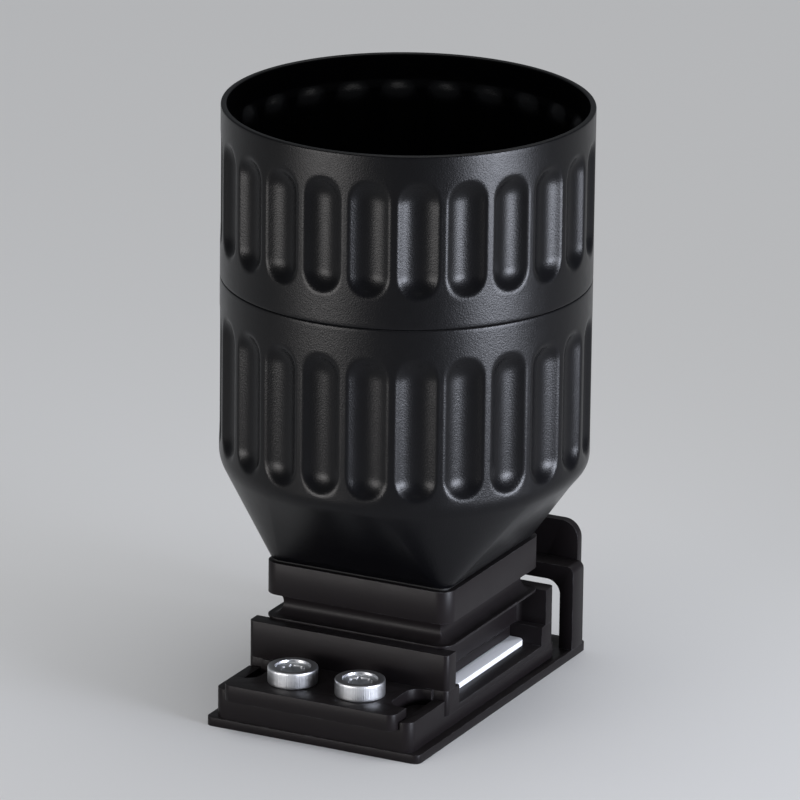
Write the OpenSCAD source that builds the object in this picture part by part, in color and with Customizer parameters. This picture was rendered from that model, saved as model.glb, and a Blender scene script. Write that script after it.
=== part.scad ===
// Film scanning hood: a fluted light hood in two sections on a slide holder.
// The origin is on the underside of the flange, on the axis of the light path. The front is at -Y.

/* [Hood] */
// Outer radius of the round hood
hood_r = 50; // [48:0.5:56]
// Height of the upper ring
upper_h = 47.5; // [44:0.5:80]
// Height of the fluted part of the lower shell
lower_h = 50.9; // [46:0.1:80]
// Number of flutes around the hood
flute_count = 24; // [18:1:24]
// Depth of a flute at its middle
flute_depth = 2.2; // [1.6:0.1:2.4]
// Radius of the round cutter that makes a flute
flute_cut_r = 8.5; // [7.5:0.1:9]
// Wall left behind a flute
flute_wall = 1.8; // [1.4:0.1:2.4]
// Smooth band between the mouth and the flutes
mouth_band = 7.5; // [6:0.1:10]
// Smooth band on each side of the seam between the two sections
seam_band = 8.7; // [8.4:0.1:11]
// Smooth band between the lower flutes and the funnel
waist_band = 3.4; // [2:0.1:6]
// Wall at the rim of the mouth
rim_wall = 1.6; // [1.2:0.1:2.4]
// Height of the thin rim
rim_h = 5; // [3:0.1:6]
// Height over which the rim's wall grows to the full wall
rim_taper_h = 5; // [3:0.1:8]
// Small chamfer on both edges of the seam
seam_chamfer = 0.4; // [0.2:0.1:0.8]

/* [Push joint of the hood] */
// Wall of the upper ring around the spigot
skirt_wall = 2; // [1.6:0.1:2.4]
// Height of the spigot on the lower shell
spigot_h = 7; // [5.5:0.1:7.6]
// Radial clearance of the spigot
spigot_clear = 0.05; // [0.03:0.01:0.1]
// Section radius of the rubber ring in the spigot
ring_r = 0.7; // [0.5:0.05:0.8]
// Clearance around the rubber ring in its groove
ring_clear = 0.05; // [0.03:0.01:0.1]

/* [Funnel] */
// Height of the funnel below the fluted shell
funnel_h = 26; // [20:0.5:40]
// How far the square foot stays behind the gate's left and right sides
foot_inset_x = 2.9; // [2.5:0.1:3.5]
// How far the square foot stays behind the gate's front and back
foot_inset_y = 4.8; // [4:0.1:5.5]
// Corner radius of the foot
foot_corner_r = 3.8; // [2:0.1:5]
// Width of the foot's shoulder around its tenon
foot_shoulder = 2.1; // [1.8:0.1:2.6]
// Height of the tenon under the foot
tenon_h = 6; // [4:0.1:6.4]
// Wall of the tenon
tenon_wall = 2; // [1.6:0.1:2.4]
// Clearance between the tenon and its socket
tenon_clear = 0.1; // [0.05:0.01:0.2]
// Thickness of the gasket under the foot
gasket_t = 0.6; // [0.4:0.1:1.2]
// How far the gasket stays behind the foot's edge
gasket_inset = 0.8; // [0.4:0.1:1]

/* [Collar] */
// How far the collar is wider than the foot on each side
collar_lip = 0.8; // [0.4:0.1:1.6]
// Height of the collar's upright sides
collar_side_h = 9; // [8:0.1:14]
// Corner radius of the collar
collar_corner_r = 4.3; // [4.3:0.1:6]
// Radius of the round groove that runs around the collar's neck
groove_r = 3.2; // [2.6:0.1:3.8]
// Depth of the groove behind the collar's sides
groove_depth = 4.2; // [3.9:0.1:4.3]
// Thickness of the lip between the groove and the gate
lip_h = 0.6; // [0.4:0.1:1.2]
// Wall of the neck on the left and right of the light path
neck_side_wall = 4.3; // [4:0.1:4.7]
// Wall of the neck in front of and behind the light path
neck_end_wall = 8.2; // [7.6:0.1:9]
// Distance of the collar's screws from the finger cut-outs
collar_screw_inset = 8.4; // [7:0.1:11]

/* [Slide] */
// Side of the square slide mount
slide_side = 50; // [50:0.1:50.8]
// Thickness of the slide mount
slide_t = 1.6; // [1.2:0.1:2]
// Corner radius of the slide mount
slide_corner_r = 2; // [1:0.1:3]
// Border of the mount on the left and right of the picture window
border_x = 7; // [6:0.25:8]
// Border of the mount in front of and behind the picture window
border_y = 13; // [12:0.25:14]
// How far the film chip reaches past the picture window
chip_margin = 1.2; // [0.8:0.1:2]
// Thickness of the film chip
chip_t = 0.2; // [0.15:0.01:0.3]

/* [Gate] */
// Wall of the gate and the carrier on the left and right of the slide's pocket
side_wall = 4.7; // [4.7:0.1:7.7]
// Wall of the gate and the carrier in front of and behind the slide's pocket
end_wall = 7.2; // [6:0.1:9]
// Height of the gate block
gate_h = 10.1; // [9.8:0.1:16]
// Corner radius of the gate and the carrier
gate_corner_r = 1.5; // [1:0.1:3]
// Wall in front of and behind the finger cut-outs
cutout_wall = 4.9; // [4.4:0.1:5.5]
// Depth of a finger cut-out from its side
cutout_depth = 8.6; // [6:0.1:8.8]
// Corner radius inside a finger cut-out
cutout_corner_r = 1.5; // [1:0.1:3]

/* [Pressure plate] */
// Thickness of the pressure plate
plate_t = 3; // [2.8:0.1:3.2]
// Gap between the resting plate and the slide
plate_gap = 0.3; // [0.2:0.05:0.4]
// How far the plate can rise against its springs
plate_travel = 0.4; // [0.2:0.05:0.5]
// Gap that is left over the plate when it is fully raised
plate_head_room = 0.1; // [0.05:0.05:0.4]
// Clearance between the plate and the pocket around it
plate_clear = 0.4; // [0.2:0.05:0.8]
// Inset of the plate's screws from its edges
plate_screw_inset = 3.4; // [3:0.1:4.5]
// Radius of a spring pocket in the gate
spring_pocket_r = 2.5; // [2.4:0.05:3]
// Depth of a spring pocket
spring_pocket_h = 4; // [3:0.1:5]
// Outer radius of a spring
spring_r = 2.1; // [1.9:0.05:2.2]
// Wire of a spring
spring_wire = 0.5; // [0.3:0.05:0.6]
// Radius of a shoulder screw's shank
shoulder_r = 1.2; // [1:0.05:1.3]
// Radius of a shoulder screw's head
shoulder_head_r = 2; // [1.8:0.05:2.2]
// Thickness of a shoulder screw's head
shoulder_head_h = 1; // [0.8:0.1:1.2]
// Length of a shoulder screw's thread in the gate
shoulder_thread = 3; // [2:0.1:5]

/* [Carrier] */
// Room between the slide and the walls of its pocket
slide_room = 0.3; // [0.2:0.05:0.5]
// How far the light opening reaches past the picture on the left and right
light_margin_x = 1.4; // [0.5:0.1:2]
// How far the light opening reaches past the picture at the front and back
light_margin_y = 2; // [1:0.1:3]
// Thickness of the front tongue
tongue_t = 4.5; // [4:0.1:5]
// Length of the front tongue ahead of the gate
tongue_l = 23.5; // [22:0.1:29]
// How far the tongue stays behind the gate's left and right sides
tongue_inset = 4.3; // [3:0.1:5]
// Corner radius of the tongue's front
tongue_corner_r = 2.5; // [1:0.1:4]
// Length of the rounded notch in each side of the tongue
notch_l = 15; // [13:0.1:16]
// Depth of the rounded notch
notch_depth = 5.8; // [4:0.1:6.2]
// Distance of the notch from the gate's front
notch_back = 0.9; // [0.9:0.1:2]
// Corner radius of the notch
notch_corner_r = 4; // [2:0.1:4.5]

/* [Thumb screws] */
// Distance between the two thumb screws
knob_pitch = 20.2; // [20:0.1:24]
// Distance of the thumb screws behind the tongue's front
knob_setback = 11.1; // [9.5:0.1:14]
// Radius of a thumb screw's head
knob_r = 6.8; // [6:0.1:7.4]
// Height of a thumb screw's head
knob_h = 4.6; // [4:0.1:8]
// Chamfer around the head
knob_chamfer = 0.5; // [0.3:0.1:0.8]
// Radius of the dished top
dish_r = 4.8; // [4:0.1:5.2]
// Depth of the dished top
dish_h = 0.7; // [0.4:0.1:1]
// Radius over the corners of the hexagon socket
socket_r = 2.9; // [2.3:0.1:3.2]
// Depth of the hexagon socket below the dish
socket_h = 2.4; // [1.5:0.1:2.8]
// Radius of the shank
shank_r = 2.4; // [2:0.05:2.5]
// Radial clearance around the shank
shank_clear = 0.05; // [0.03:0.01:0.1]
// Rise of a thumb screw for one turn
screw_pitch = 0.8; // [0.5:0.1:0.8]
// Turns that free a thumb screw
screw_turns = 4; // [3:0.5:4]
// Gap under the end of the shank
shank_end_gap = 0.2; // [0.1:0.05:0.4]
// Outer radius of the retainer clip
clip_r = 4; // [3.6:0.1:4.2]
// Thickness of the retainer clip
clip_t = 0.8; // [0.5:0.1:0.9]
// Clearance around the clip in its recess
clip_clear = 0.4; // [0.3:0.05:0.6]

/* [Base] */
// How far the flange reaches past the gate's left and right sides
flange_lip = 2; // [2:0.1:6]
// Thickness of the flange
flange_t = 2.4; // [2.4:0.1:4]
// Corner radius of the flange
flange_corner_r = 2; // [1:0.1:4]
// How far the base block stays behind the gate's left and right sides
base_inset = 0.5; // [0:0.1:1]
// Height of the base block under the carrier
base_h = 4; // [3.8:0.1:5]
// Height of the seat under the tongue, above the flange
seat_h = 6.5; // [6.5:0.1:8]
// Height of the cheeks above the seat
cheek_h = 2; // [1:0.1:3]
// Gap between the tongue and a cheek
cheek_gap = 0.4; // [0.3:0.05:0.6]
// How far the base block stays behind the tongue's front
base_setback = 2.8; // [1:0.1:3.5]
// How far the flange reaches ahead of the base block
flange_step = 0.3; // [0.2:0.1:1]
// Gap between the seat's back face and the carrier
seat_gap = 0.6; // [0.4:0.1:1]
// How far the base block reaches behind the gate
base_back = 3; // [2.4:0.1:5]
// Corner radius of the base block
base_corner_r = 3; // [2:0.1:4]
// How far the base's window reaches past the light opening on the left and right
window_margin_x = 2.6; // [0.6:0.1:2.6]
// How far the base's window reaches past the light opening at the front and back
window_margin_y = 3; // [1:0.1:4]
// Radius of a locating dowel
dowel_r = 1.5; // [1.2:0.05:1.6]
// Height of a dowel above the base block
dowel_h = 4.5; // [3:0.1:5]
// Distance of the dowels from the gate's left and right sides
dowel_inset = 12; // [10:0.1:15]
// Radial clearance of a dowel in the carrier
dowel_clear = 0.05; // [0.03:0.01:0.1]

/* [Fixing holes under the base] */
// Distance of the fixing holes from the gate's left and right sides
fixing_inset_x = 8; // [6:0.1:10]
// Distance of the fixing holes from the gate's front and back
fixing_inset_y = 6.5; // [5.5:0.1:9.5]
// Radius of a fixing hole
fixing_r = 1.25; // [1:0.05:1.65]
// Depth of a fixing hole in the base block
fixing_h = 3; // [2:0.1:3.4]

/* [Small screws] */
// Radius of the small screws' shanks
screw_r = 1.25; // [1:0.05:1.3]
// Radius of their countersunk heads
screw_head_r = 2.3; // [2:0.05:2.4]
// Height of their countersunk heads
screw_head_h = 1.3; // [1:0.1:1.4]
// Radial clearance of a small screw in its hole
screw_clear = 0.04; // [0.02:0.01:0.08]
// Radius of the hexagon socket in a small screw
screw_socket_r = 0.9; // [0.6:0.05:1]
// Depth of the hexagon socket in a small screw
screw_socket_h = 0.8; // [0.5:0.1:0.9]
// Radius of the shanks of the gate's screws, in the narrow walls beside the slide
wall_screw_r = 1; // [0.8:0.05:1.1]
// Radius of the countersunk heads of the gate's screws
wall_screw_head_r = 1.8; // [1.6:0.05:1.85]
// Length of the collar's screws in the gate
collar_screw_grip = 5; // [4:0.1:6]
// Length of the gate's screws in the gate
gate_screw_grip = 6; // [4:0.1:8]
// Length of the base screws in the base block
base_screw_grip = 3.2; // [2:0.1:3.4]
// Inset of the base screws from the sides of the base block
base_screw_inset = 4; // [3.6:0.1:5]

/* [Rear bracket] */
// Gap between the gate and the rear bracket
bracket_gap = 7.8; // [5:0.1:13]
// Depth of the rear bracket
bracket_y = 6.7; // [5:0.1:10]
// Width of the legs of the bracket
leg_w = 4; // [3.6:0.1:6]
// Height of the arched opening above the flange
arch_h = 19.6; // [14:0.1:26]
// Corner radius of the arched opening
arch_corner_r = 4; // [2:0.1:6]
// Height of the bar over the arch
bar_h = 4.4; // [4.4:0.1:8]
// Corner radius of the bracket's top
bar_corner_r = 2; // [1:0.1:3]
// Radius of the bracket's screws
leg_screw_r = 1; // [0.8:0.05:1]
// Radius of the bracket screws' heads
leg_screw_head_r = 1.7; // [1.5:0.05:1.8]
// Length of the bracket's screws in the legs
leg_screw_grip = 8; // [5:0.1:12]
// How far the baffle stays behind the bracket's left and right sides
baffle_inset = 2; // [1:0.1:7]
// Thickness of the baffle
baffle_t = 2.6; // [2:0.1:4]
// Height of the baffle above the bracket's bar
baffle_rise = 10.8; // [8:0.1:20]
// Radius of the baffle's shoulders
shoulder_corner_r = 5; // [3:0.1:8]
// Distance between the baffle's screws
baffle_screw_pitch = 40; // [30:0.5:46]

/* [Hidden] */
$fn = 96;

// Facets around the round end of the funnel
loft_fn = 64;
// Overrun of every cut past the face that it opens
over = 1;
// Thickness of the slabs that the funnel is drawn between
slab = 0.2;
// How far the funnel's round end stays inside the fluted shell
loft_inset = 0.05;

hood_black = "#1f2024";
holder_black = "#262425";
rubber_black = "#141414";
bright_steel = "#c9cbce";
mount_white = "#e9eaee";
film_grey = "#2b2a30";

// Levels above the ground, from the flange up to the rim
block_z = flange_t;
bed_z = block_z + base_h;
seat_z = block_z + seat_h;
gate_z = seat_z + tongue_t;
pocket_z = gate_z - plate_head_room - plate_travel - plate_t - plate_gap - slide_t;
neck_z = gate_z + gate_h;
groove_z = neck_z + lip_h + groove_r;
collar_z = groove_z + groove_r;
collar_top_z = collar_z + collar_side_h;
foot_z = collar_top_z + gasket_t;
waist_z = foot_z + funnel_h;
seam_z = waist_z + lower_h;
rim_z = seam_z + upper_h;

// Hood
hood_bore_r = hood_r - flute_depth - flute_wall;
spigot_r = hood_r - skirt_wall - spigot_clear;
ring_z = seam_z + spigot_h / 2;
ring_path_r = spigot_r - ring_r;
flute_axis_r = hood_r - flute_depth + flute_cut_r;
flute_run = sqrt(pow(flute_cut_r, 2) - pow(flute_axis_r - hood_r, 2));

// Picture window and the light's way under it
picture_x = slide_side - 2 * border_x;
picture_y = slide_side - 2 * border_y;
light_x = picture_x + 2 * light_margin_x;
light_y = picture_y + 2 * light_margin_y;
window_x = light_x + 2 * window_margin_x;
window_y = light_y + 2 * window_margin_y;

// Outline of the gate, and what follows it above and below
pocket_half = slide_side / 2 + slide_room;
gate_x = 2 * (pocket_half + side_wall);
gate_y = 2 * (pocket_half + end_wall);
foot_x = gate_x - 2 * foot_inset_x;
foot_y = gate_y - 2 * foot_inset_y;
tongue_w = gate_x - 2 * tongue_inset;
base_x = gate_x - 2 * base_inset;
flange_x = gate_x + 2 * flange_lip;
baffle_x = flange_x - 2 * baffle_inset;
dowel_x = gate_x / 2 - dowel_inset;
fixing_x = gate_x / 2 - fixing_inset_x;
fixing_y = gate_y / 2 - fixing_inset_y;

// Tenon, socket and light path through the collar
tenon_x = foot_x - 2 * foot_shoulder;
tenon_y = foot_y - 2 * foot_shoulder;
socket_x = tenon_x + 2 * tenon_clear;
socket_y = tenon_y + 2 * tenon_clear;
socket_z = foot_z - tenon_h - tenon_clear;
collar_x = foot_x + 2 * collar_lip;
collar_y = foot_y + 2 * collar_lip;
path_x = collar_x - 2 * (groove_depth + neck_side_wall);
path_y = collar_y - 2 * (groove_depth + neck_end_wall);
tenon_corner_r = foot_corner_r - foot_shoulder / 2;
collar_screw_y = (path_y + neck_end_wall) / 2;

// Finger cut-outs, the collar's screws beside them and pressure plate
cutout_x = gate_x / 2 - cutout_depth;
plate_z = pocket_z + slide_t + plate_gap;
plate_top_z = plate_z + plate_t;
collar_screw_x = cutout_x - collar_screw_inset;
plate_half_x = cutout_x - plate_clear;
plate_half_y = pocket_half - plate_clear;
plate_places = [
    for (x = [-1, 1], y = [-1, 1])
        [x * (plate_half_x - plate_screw_inset), y * (plate_half_y - plate_screw_inset)]
];
spring_top_z = gate_z + spring_pocket_h;
plate_head_z = plate_top_z - shoulder_head_h - plate_t / 3;

// Screws through the corners beside the pocket
wall_screw_x = gate_x / 2 - wall_screw_head_r - gate_corner_r / 2;
wall_screw_y = gate_y / 2 - wall_screw_head_r - gate_corner_r / 2;

// Thumb screws
knob_y = knob_setback - tongue_l - gate_y / 2;
screw_rise = screw_pitch * screw_turns;
recess_z = seat_z - clip_t - screw_rise;

// Base
base_front = tongue_l + gate_y / 2 - base_setback;
base_rear = gate_y / 2 + base_back;
base_y = base_front + base_rear;
base_mid_y = (base_rear - base_front) / 2;
seat_back_y = -gate_y / 2 - seat_gap;
flange_front = base_front + flange_step;
bracket_front_y = gate_y / 2 + bracket_gap;
bracket_back_y = bracket_front_y + bracket_y;
flange_rear = bracket_back_y + baffle_t;
arch_z = flange_t + arch_h;
bar_z = arch_z + bar_h;
leg_screw_x = (flange_x - leg_w) / 2;
leg_screw_y = bracket_front_y + bracket_y / 2;
baffle_screw_z = arch_z + bar_h / 2;
base_screw_x = base_x / 2 - base_screw_inset;

// A plate with rounded upright corners, centred on the axis and standing on the given level
module rounded_plate(x, y, r, h) {
    linear_extrude(h) {
        square([x - 2 * r, y], center = true);
        square([x, y - 2 * r], center = true);
        for (side_x = [-1, 1], side_y = [-1, 1])
            translate([side_x * (x / 2 - r), side_y * (y / 2 - r)]) circle(r);
    }
}

// A countersunk screw that points up, with its head's face at the given place
module flat_screw(r, head_r, head_h, length, socket = true) {
    difference() {
        union() {
            cylinder(h = head_h, r1 = head_r, r2 = r);
            cylinder(h = length, r = r);
        }
        if (socket)
            translate([0, 0, -over]) cylinder(h = over + screw_socket_h, r = screw_socket_r, $fn = 6);
    }
}

// The hole for such a screw
module flat_screw_hole(r, head_r, head_h, length) {
    translate([0, 0, -over]) cylinder(h = over, r = head_r + screw_clear);
    cylinder(h = head_h, r1 = head_r + screw_clear, r2 = r + screw_clear);
    cylinder(h = length + screw_clear, r = r + screw_clear);
}

// One upright cutter with round ends, between two levels where the flute runs out of the hood
module flute_cutter(low, high, r) {
    translate([flute_axis_r, 0, low + flute_run]) {
        cylinder(h = high - low - 2 * flute_run, r = r);
        sphere(r);
        translate([0, 0, high - low - 2 * flute_run]) sphere(r);
    }
}

module around_hood() {
    for (i = [0 : flute_count - 1]) rotate([0, 0, i * 360 / flute_count]) children();
}

module flutes(low, high) {
    around_hood() flute_cutter(low, high, flute_cut_r);
}

// The humps inside the thin shell that keep the wall behind each flute, cut off within the shell's wall
module flute_backs(low, high, shell_wall) {
    around_hood() intersection() {
        flute_cutter(low, high, flute_cut_r + flute_wall);
        translate([0, 0, low - flute_wall])
            cylinder(h = high - low + 2 * flute_wall, r = hood_r - shell_wall / 2);
    }
}

module upper_hood() {
    taper_z = rim_z - rim_h - rim_taper_h;
    low = seam_z + seam_band;
    high = rim_z - mouth_band;
    color(hood_black) difference() {
        union() {
            rotate_extrude() polygon([
                [hood_r - skirt_wall, seam_z],
                [hood_r - seam_chamfer, seam_z],
                [hood_r, seam_z + seam_chamfer],
                [hood_r, rim_z],
                [hood_r - rim_wall, rim_z],
                [hood_r - rim_wall, rim_z - rim_h],
                [hood_r - skirt_wall, taper_z]
            ]);
            flute_backs(low, high, skirt_wall);
        }
        flutes(low, high);
    }
}

module funnel_solid(round_r, square_x, square_y, corner_r, low, high) {
    hull() {
        translate([0, 0, high - slab]) cylinder(h = slab, r = round_r, $fn = loft_fn);
        translate([0, 0, low]) rounded_plate(square_x, square_y, corner_r, slab, $fn = loft_fn / 2);
    }
}

module lower_hood() {
    inner_x = tenon_x - 2 * tenon_wall;
    inner_y = tenon_y - 2 * tenon_wall;
    inner_r = tenon_corner_r / 2;
    shell_bore_r = hood_r - flute_wall;
    low = waist_z + waist_band;
    high = seam_z - seam_band;
    throat_z = high + flute_wall;
    throat_h = 3 * flute_wall / 2;
    color(hood_black) difference() {
        union() {
            difference() {
                union() {
                    rotate_extrude() polygon([
                        [shell_bore_r, waist_z],
                        [hood_r, waist_z],
                        [hood_r, seam_z - seam_chamfer],
                        [hood_r - seam_chamfer, seam_z],
                        [spigot_r, seam_z],
                        [spigot_r, seam_z + spigot_h],
                        [hood_bore_r, seam_z + spigot_h],
                        [hood_bore_r, throat_z + throat_h],
                        [shell_bore_r, throat_z]
                    ]);
                    flute_backs(low, high, flute_wall);
                }
                flutes(low, high);
                rotate_extrude() translate([ring_path_r, ring_z])
                    square(2 * (ring_r + ring_clear), center = true);
            }
            difference() {
                funnel_solid(hood_r - loft_inset, foot_x, foot_y, foot_corner_r, foot_z, waist_z + slab);
                translate([0, 0, waist_z]) cylinder(h = over, r = shell_bore_r);
            }
            translate([0, 0, foot_z - tenon_h])
                rounded_plate(tenon_x, tenon_y, tenon_corner_r, tenon_h + slab);
        }
        funnel_solid(shell_bore_r - loft_inset, inner_x, inner_y, inner_r, foot_z, waist_z + 2 * slab);
        translate([0, 0, foot_z - tenon_h - over])
            rounded_plate(inner_x, inner_y, inner_r, tenon_h + over + slab);
    }
}

module hood_joint_ring() {
    color(rubber_black) rotate_extrude() translate([ring_path_r, ring_z]) circle(ring_r);
}

module foot_gasket() {
    color(rubber_black) translate([0, 0, collar_top_z]) difference() {
        rounded_plate(foot_x - 2 * gasket_inset, foot_y - 2 * gasket_inset, foot_corner_r / 2, gasket_t);
        translate([0, 0, -over])
            rounded_plate(socket_x, socket_y, tenon_corner_r, gasket_t + 2 * over);
    }
}

// Section of the groove, with its open side at the given distance to the right
module groove_section(face) {
    middle = face - groove_depth + groove_r;
    translate([middle, 0]) circle(groove_r);
    translate([middle, -groove_r]) square([face - middle + over, 2 * groove_r]);
}

// The groove around the collar: four straight runs and a quarter turn at each corner
module collar_groove() {
    straight_x = collar_x - 2 * collar_corner_r;
    straight_y = collar_y - 2 * collar_corner_r;
    for (turn = [0, 180]) rotate([0, 0, turn]) {
        rotate([90, 0, 0]) translate([0, 0, -straight_y / 2])
            linear_extrude(straight_y) groove_section(collar_x / 2);
        rotate([90, 0, 90]) translate([0, 0, -straight_x / 2])
            linear_extrude(straight_x) groove_section(collar_y / 2);
        translate([straight_x / 2, straight_y / 2])
            rotate_extrude(angle = 90) groove_section(collar_corner_r);
        translate([-straight_x / 2, straight_y / 2])
            rotate([0, 0, 90]) rotate_extrude(angle = 90) groove_section(collar_corner_r);
    }
}

module collar() {
    color(holder_black) difference() {
        translate([0, 0, neck_z])
            rounded_plate(collar_x, collar_y, collar_corner_r, collar_top_z - neck_z);
        translate([0, 0, groove_z]) collar_groove();
        translate([0, 0, socket_z])
            rounded_plate(socket_x, socket_y, tenon_corner_r, collar_top_z - socket_z + over);
        translate([0, 0, neck_z - over])
            rounded_plate(path_x, path_y, tenon_corner_r, socket_z - neck_z + 2 * over);
        collar_screw_places()
            flat_screw_hole(screw_r, screw_head_r, screw_head_h, socket_z - neck_z + over);
    }
}

// The collar's screws point down, with their heads in the socket's floor
module collar_screw_places() {
    for (side_x = [-1, 1], side_y = [-1, 1])
        translate([side_x * collar_screw_x, side_y * collar_screw_y, socket_z])
            rotate([180, 0, 0]) children();
}

module collar_screws() {
    color(holder_black) collar_screw_places()
        flat_screw(screw_r, screw_head_r, screw_head_h, socket_z - neck_z + collar_screw_grip);
}

// The finger cut-out in the left or right side of the gate
module finger_cutout(side, low, high) {
    far = gate_x;
    translate([side * (cutout_x + far / 2), 0, low])
        rounded_plate(far, gate_y - 2 * cutout_wall, cutout_corner_r, high - low);
}

module gate_block() {
    color(holder_black) difference() {
        translate([0, 0, gate_z]) rounded_plate(gate_x, gate_y, gate_corner_r, gate_h);
        for (side = [-1, 1]) finger_cutout(side, gate_z - over, neck_z + over);
        translate([0, 0, gate_z - over])
            rounded_plate(path_x, path_y, tenon_corner_r, gate_h + 2 * over);
        for (place = plate_places) translate([place.x, place.y, gate_z - over]) {
            cylinder(h = over + spring_pocket_h, r = spring_pocket_r);
            cylinder(h = over + spring_pocket_h + shoulder_thread + screw_clear, r = shoulder_r + screw_clear);
        }
        collar_screw_places() flat_screw_hole(screw_r, screw_head_r, screw_head_h,
            socket_z - neck_z + collar_screw_grip);
        gate_screw_places() flat_screw_hole(wall_screw_r, wall_screw_head_r, screw_head_h,
            gate_z - bed_z + gate_screw_grip);
    }
}

module pressure_plate() {
    color(holder_black) difference() {
        translate([0, 0, plate_z])
            rounded_plate(2 * plate_half_x, 2 * plate_half_y, cutout_corner_r, plate_t);
        translate([0, 0, plate_z - over])
            rounded_plate(picture_x + 2 * chip_margin, picture_y + 2 * chip_margin, cutout_corner_r,
                plate_t + 2 * over);
        for (place = plate_places) translate([place.x, place.y, plate_z - over]) {
            cylinder(h = plate_t + 2 * over, r = shoulder_r + shank_clear);
            cylinder(h = plate_head_z + shoulder_head_h - plate_z + over,
                r = shoulder_head_r + shank_clear);
        }
    }
}

module pressure_springs() {
    spring_h = spring_top_z - plate_top_z;
    color(bright_steel) for (place = plate_places) translate([place.x, place.y, plate_top_z])
        difference() {
            cylinder(h = spring_h, r = spring_r);
            translate([0, 0, -over]) cylinder(h = spring_h + 2 * over, r = spring_r - spring_wire);
        }
}

module plate_screws() {
    color(bright_steel) for (place = plate_places) translate([place.x, place.y, plate_head_z]) {
        difference() {
            cylinder(h = shoulder_head_h, r = shoulder_head_r);
            translate([0, 0, -over])
                cylinder(h = over + shoulder_head_h / 2, r = screw_socket_r, $fn = 6);
        }
        cylinder(h = spring_top_z + shoulder_thread - plate_head_z, r = shoulder_r - screw_clear);
    }
}

// The gate's screws point up, with their heads in the carrier's underside
module gate_screw_places() {
    for (side_x = [-1, 1], side_y = [-1, 1])
        translate([side_x * wall_screw_x, side_y * wall_screw_y, bed_z]) children();
}

module gate_screws() {
    color(holder_black) gate_screw_places()
        flat_screw(wall_screw_r, wall_screw_head_r, screw_head_h, gate_z - bed_z + gate_screw_grip);
}

// Outline of the front tongue, with its front edge and its two rounded notches
module tongue_outline() {
    front_y = -gate_y / 2 - tongue_l;
    notch_y = -gate_y / 2 - notch_back - notch_l / 2;
    difference() {
        translate([0, front_y + tongue_l / 2 + over / 2]) {
            square([tongue_w - 2 * tongue_corner_r, tongue_l + over], center = true);
            translate([0, tongue_corner_r / 2])
                square([tongue_w, tongue_l + over - tongue_corner_r], center = true);
        }
        for (side = [-1, 1]) translate([side * tongue_w / 2, notch_y]) {
            square([2 * notch_depth, notch_l - 2 * notch_corner_r], center = true);
            square([2 * (notch_depth - notch_corner_r), notch_l], center = true);
            for (end = [-1, 1])
                translate([-side * (notch_depth - notch_corner_r), end * (notch_l / 2 - notch_corner_r)])
                    circle(notch_corner_r);
        }
    }
    for (side = [-1, 1])
        translate([side * (tongue_w / 2 - tongue_corner_r), front_y + tongue_corner_r])
            circle(tongue_corner_r);
}

module carrier() {
    far = gate_x;
    color(holder_black) difference() {
        union() {
            translate([0, 0, bed_z]) rounded_plate(gate_x, gate_y, gate_corner_r, gate_z - bed_z);
            translate([0, 0, seat_z]) linear_extrude(tongue_t) tongue_outline();
        }
        translate([(far - pocket_half) / 2, 0, pocket_z])
            rounded_plate(far + pocket_half, 2 * pocket_half, slide_corner_r / 2,
                gate_z - pocket_z + over);
        translate([0, 0, bed_z - over])
            rounded_plate(light_x, light_y, cutout_corner_r, pocket_z - bed_z + 2 * over);
        for (side = [-1, 1]) {
            translate([side * knob_pitch / 2, knob_y, seat_z - over])
                cylinder(h = tongue_t + 2 * over, r = shank_r + shank_clear);
            translate([side * dowel_x, wall_screw_y, bed_z - over])
                cylinder(h = over + dowel_h + dowel_clear, r = dowel_r + dowel_clear);
        }
        gate_screw_places()
            flat_screw_hole(wall_screw_r, wall_screw_head_r, screw_head_h, gate_z - bed_z + over);
    }
}

// One half of the slide mount, with the recess for the film chip in its inner face
module mount_half(low, chip_low) {
    chip_x = picture_x + 2 * chip_margin;
    chip_y = picture_y + 2 * chip_margin;
    difference() {
        translate([0, 0, low]) rounded_plate(slide_side, slide_side, slide_corner_r, slide_t / 2);
        translate([-picture_x / 2, -picture_y / 2, low - over])
            cube([picture_x, picture_y, slide_t + 2 * over]);
        translate([-chip_x / 2, -chip_y / 2, chip_low]) cube([chip_x, chip_y, chip_t]);
    }
}

module slide_mount_base() {
    chip_low = pocket_z + slide_t / 2 - chip_t;
    color(mount_white) mount_half(pocket_z, chip_low);
}

module slide_mount_top() {
    middle_z = pocket_z + slide_t / 2;
    color(mount_white) mount_half(middle_z, middle_z - chip_t);
}

module film_chip() {
    chip_x = picture_x + 2 * chip_margin;
    chip_y = picture_y + 2 * chip_margin;
    color(film_grey) translate([-chip_x / 2, -chip_y / 2, pocket_z + slide_t / 2 - chip_t])
        cube([chip_x, chip_y, chip_t]);
}

module thumb_screw(side) {
    color(bright_steel) translate([side * knob_pitch / 2, knob_y, gate_z]) difference() {
        union() {
            cylinder(h = knob_chamfer, r1 = knob_r - knob_chamfer, r2 = knob_r);
            translate([0, 0, knob_chamfer]) cylinder(h = knob_h - 2 * knob_chamfer, r = knob_r);
            translate([0, 0, knob_h - knob_chamfer])
                cylinder(h = knob_chamfer, r1 = knob_r, r2 = knob_r - knob_chamfer);
            translate([0, 0, block_z + shank_end_gap - gate_z])
                cylinder(h = gate_z - block_z - shank_end_gap + knob_chamfer, r = shank_r);
        }
        translate([0, 0, knob_h - dish_h]) cylinder(h = dish_h + over, r = dish_r);
        translate([0, 0, knob_h - dish_h - socket_h])
            cylinder(h = socket_h + over, r = socket_r, $fn = 6);
    }
}

module thumb_screw_left() { thumb_screw(-1); }

module thumb_screw_right() { thumb_screw(1); }

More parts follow.
